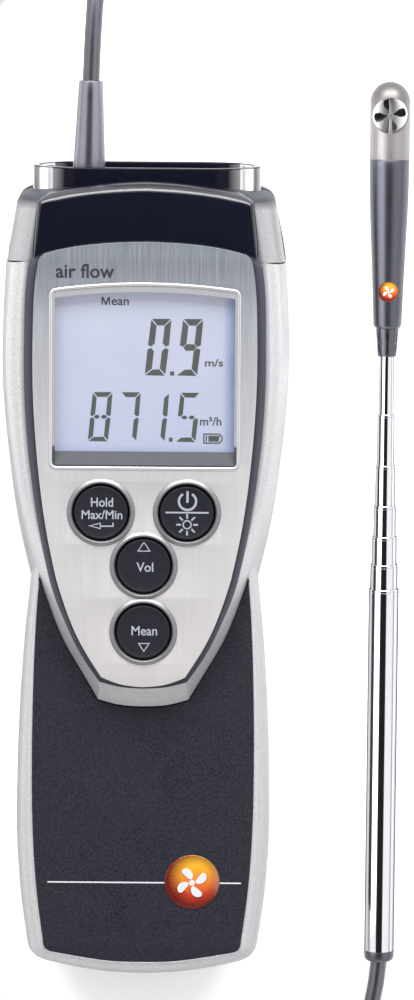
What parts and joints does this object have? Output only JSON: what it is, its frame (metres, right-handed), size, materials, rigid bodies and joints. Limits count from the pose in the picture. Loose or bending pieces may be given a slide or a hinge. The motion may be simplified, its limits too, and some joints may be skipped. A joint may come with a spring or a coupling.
{
  "type": "vane anemometer",
  "caption": "Handheld vane anemometer with display and keypad, and a cabled telescopic probe carrying a small impeller in its head.",
  "frame": {"origin": "middle of the footprint without the cable, on the surface the instrument and probe lie on", "axes": "+Z out of the instrument's face, +Y toward its socket end and the probe's head, +X to the right where the probe lies"},
  "size_m": [0.1054, 0.3175, 0.0397],
  "materials": {
    "silver_plastic": "satin silver paint on ABS",
    "dark_plastic": "fine grained, matt",
    "face_metal": "vertically brushed",
    "chrome_bezel": "polished",
    "key_rubber": "matt, fine grain",
    "mat_rubber": "matt",
    "board": "solder mask",
    "chip_plastic": "matt",
    "display_glass": "satin",
    "lens_glass": "clear",
    "light_plastic": "diffusing",
    "screw_steel": "zinc plated",
    "battery_case": "printed",
    "lead_rubber": "matt",
    "badge_enamel": "gloss",
    "white_print": "gloss",
    "tube_steel": "polished",
    "head_steel": "satin",
    "cable_rubber": "matt",
    "impeller_plastic": "satin",
    "copper": "enamelled"
  },
  "bodies": {
    "instrument": {"rear_shell": "dark_plastic", "front_shell": "silver_plastic", "head_cap": "silver_plastic", "head_inlay": "dark_plastic", "lower_panel": "dark_plastic", "accent_line": "white_print", "badge": "badge_enamel", "face_surround": "dark_plastic", "face_plate": "face_metal", "circuit_board": "board", "keypad_mat": "mat_rubber", "lcd_backlight": "light_plastic", "lcd_panel": "display_glass", "lcd_lens": "lens_glass", "lcd_frame": "silver_plastic", "lcd_connector_strip": "mat_rubber", "measuring_chip": "chip_plastic", "probe_lead_header": "light_plastic", "board_screws": "screw_steel", "housing_screws": "screw_steel", "battery": "battery_case", "battery_clip": "chip_plastic", "battery_leads": "lead_rubber", "socket_bezel": "chrome_bezel", "socket_insert": "chip_plastic", "cable_boot": "cable_rubber", "cord_upper": "cable_rubber", "cord_coil": "cable_rubber", "cord_lower": "cable_rubber", "probe_end_cap": "dark_plastic", "probe_tube_1": "tube_steel"},
    "tube_2": {"probe_tube_2": "tube_steel"},
    "tube_3": {"probe_tube_3": "tube_steel"},
    "tube_4": {"probe_tube_4": "tube_steel"},
    "tube_5": {"probe_tube_5": "tube_steel"},
    "tube_6": {"probe_tube_6": "tube_steel"},
    "tube_7": {"probe_tube_7": "tube_steel"},
    "head": {"probe_collar": "dark_plastic", "probe_handle": "dark_plastic", "probe_badge": "badge_enamel", "probe_head": "head_steel", "pickup_coil": "copper", "bearing_bridge_front": "head_steel", "bearing_bridge_rear": "head_steel"},
    "rotor": {"impeller": "impeller_plastic", "impeller_axle": "screw_steel"},
    "door": {"battery_door": "dark_plastic"},
    "key_1": {"button_1": "key_rubber"},
    "key_2": {"button_2": "key_rubber"},
    "key_3": {"button_3": "key_rubber"},
    "key_4": {"button_4": "key_rubber"}
  },
  "joints": [
    {"name": "telescope_2", "type": "slide", "parent": "instrument", "child": "tube_2", "axis": [0, 1, 0], "range_m": [-0.00365, 0.05435]},
    {"name": "telescope_3", "type": "slide", "parent": "tube_2", "child": "tube_3", "axis": [0, 1, 0], "range_m": [-0.00448, 0.05352]},
    {"name": "telescope_4", "type": "slide", "parent": "tube_3", "child": "tube_4", "axis": [0, 1, 0], "range_m": [-0.00506, 0.05294]},
    {"name": "telescope_5", "type": "slide", "parent": "tube_4", "child": "tube_5", "axis": [0, 1, 0], "range_m": [-0.00731, 0.05069]},
    {"name": "telescope_6", "type": "slide", "parent": "tube_5", "child": "tube_6", "axis": [0, 1, 0], "range_m": [-0.00972, 0.04828]},
    {"name": "telescope_7", "type": "slide", "parent": "tube_6", "child": "tube_7", "axis": [0, 1, 0], "range_m": [-0.01128, 0.04672]},
    {"name": "head_turn", "type": "hinge", "parent": "tube_7", "child": "head", "pos_m": [0.04101, 0.045, 0.00453], "axis": [0, 1, 0], "range_deg": [-180, 180]},
    {"name": "rotor_spin", "type": "hinge", "parent": "head", "child": "rotor", "pos_m": [0.04101, 0.0936, 0.00453], "axis": [0, 0, 1], "continuous": true},
    {"name": "door_slide", "type": "slide", "parent": "instrument", "child": "door", "axis": [0, -1, 0], "range_m": [0, 0.008]},
    {"name": "press_1", "type": "slide", "parent": "instrument", "child": "key_1", "axis": [0, 0, -1], "range_m": [0, 0.0008], "stiffness_N_per_m": 300, "springref_m": -0.001},
    {"name": "press_2", "type": "slide", "parent": "instrument", "child": "key_2", "axis": [0, 0, -1], "range_m": [0, 0.0008], "stiffness_N_per_m": 300, "springref_m": -0.001},
    {"name": "press_3", "type": "slide", "parent": "instrument", "child": "key_3", "axis": [0, 0, -1], "range_m": [0, 0.0008], "stiffness_N_per_m": 300, "springref_m": -0.001},
    {"name": "press_4", "type": "slide", "parent": "instrument", "child": "key_4", "axis": [0, 0, -1], "range_m": [0, 0.0008], "stiffness_N_per_m": 300, "springref_m": -0.001}
  ]
}
